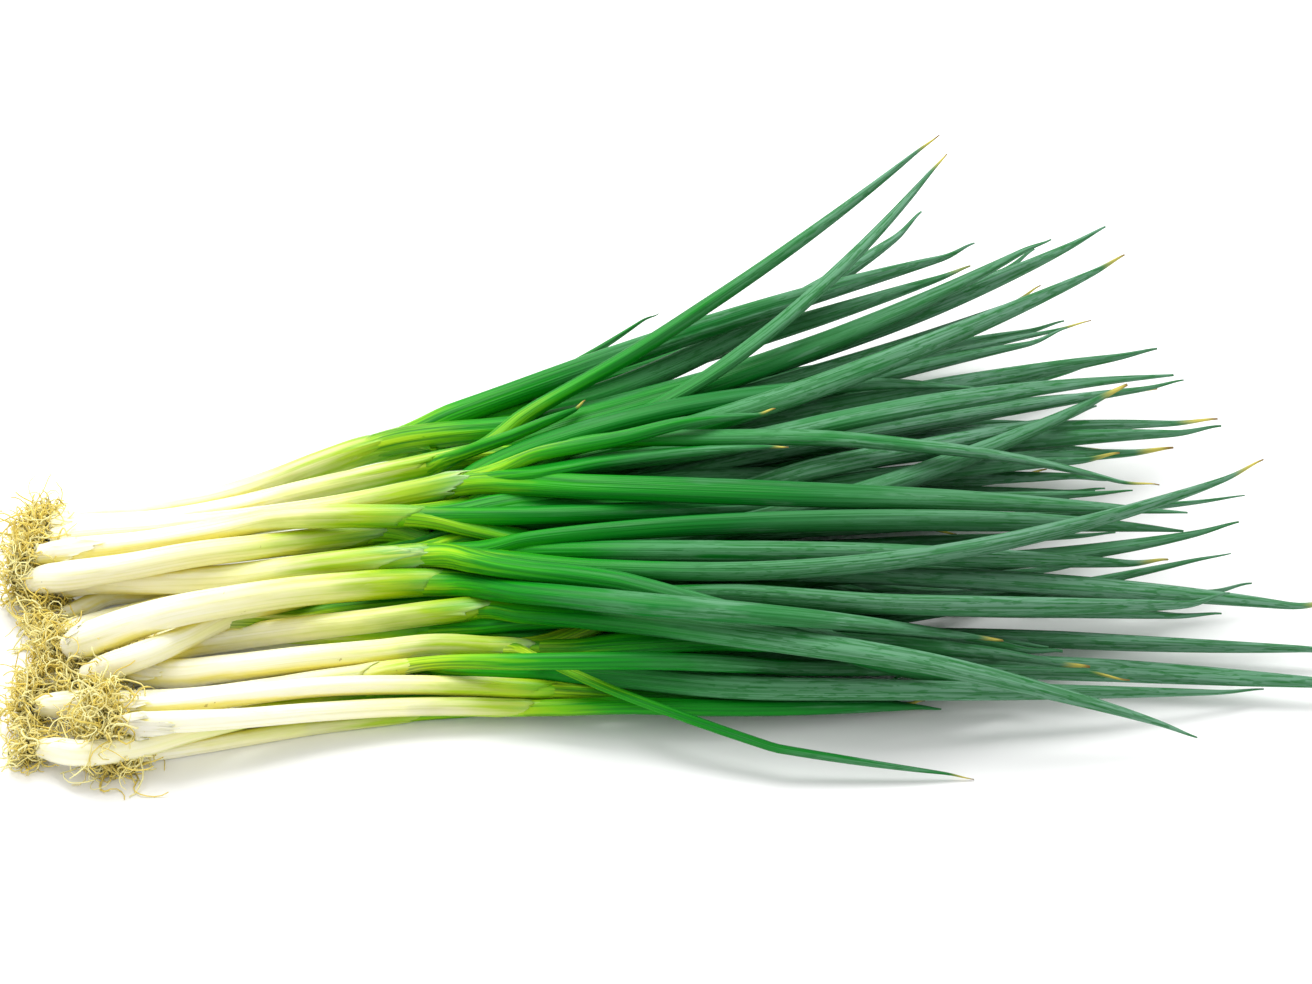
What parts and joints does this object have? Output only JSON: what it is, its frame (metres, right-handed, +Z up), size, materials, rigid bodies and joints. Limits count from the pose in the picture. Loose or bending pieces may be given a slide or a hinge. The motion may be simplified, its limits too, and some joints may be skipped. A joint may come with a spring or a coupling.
{
  "type": "spring onion bunch",
  "caption": "Loose bunch of whole spring onions lying on its side: white shafts with root tufts at one end, long hollow pointed green leaves fanning out at the other.",
  "frame": {"origin": "on the table top, under the middle of the bunch's footprint", "axes": "+X from the roots to the leaf tips, +Y from the front of the bunch to its back, +Z up from the table"},
  "size_m": [0.462, 0.2536, 0.0882],
  "materials": {
    "onion_stem": "smooth, slightly waxy, white to pale yellow-green",
    "onion_leaf": "smooth with a thin waxy bloom, fine lengthwise veins",
    "onion_root": "dry, matt, fibrous"
  },
  "bodies": {
    "root": {"onion_01_stem": "onion_stem", "onion_01_leaves": "onion_leaf", "onion_01_roots": "onion_root", "onion_02_stem": "onion_stem", "onion_02_leaves": "onion_leaf", "onion_02_roots": "onion_root", "onion_03_stem": "onion_stem", "onion_03_leaves": "onion_leaf", "onion_03_roots": "onion_root", "onion_04_stem": "onion_stem", "onion_04_leaves": "onion_leaf", "onion_04_roots": "onion_root", "onion_05_stem": "onion_stem", "onion_05_leaves": "onion_leaf", "onion_05_roots": "onion_root", "onion_06_stem": "onion_stem", "onion_06_leaves": "onion_leaf", "onion_06_roots": "onion_root", "onion_07_stem": "onion_stem", "onion_07_leaves": "onion_leaf", "onion_07_roots": "onion_root", "onion_08_stem": "onion_stem", "onion_08_leaves": "onion_leaf", "onion_08_roots": "onion_root", "onion_09_stem": "onion_stem", "onion_09_leaves": "onion_leaf", "onion_09_roots": "onion_root", "onion_10_stem": "onion_stem", "onion_10_leaves": "onion_leaf", "onion_10_roots": "onion_root", "onion_11_stem": "onion_stem", "onion_11_leaves": "onion_leaf", "onion_11_roots": "onion_root", "onion_12_stem": "onion_stem", "onion_12_leaves": "onion_leaf", "onion_12_roots": "onion_root", "onion_13_stem": "onion_stem", "onion_13_leaves": "onion_leaf", "onion_13_roots": "onion_root", "onion_14_stem": "onion_stem", "onion_14_leaves": "onion_leaf", "onion_14_roots": "onion_root", "onion_15_stem": "onion_stem", "onion_15_leaves": "onion_leaf", "onion_15_roots": "onion_root", "onion_16_stem": "onion_stem", "onion_16_leaves": "onion_leaf", "onion_16_roots": "onion_root", "onion_17_stem": "onion_stem", "onion_17_leaves": "onion_leaf", "onion_17_roots": "onion_root", "onion_18_stem": "onion_stem", "onion_18_leaves": "onion_leaf", "onion_18_roots": "onion_root", "onion_19_stem": "onion_stem", "onion_19_leaves": "onion_leaf", "onion_19_roots": "onion_root", "onion_20_stem": "onion_stem", "onion_20_leaves": "onion_leaf", "onion_20_roots": "onion_root"}
  },
  "joints": []
}
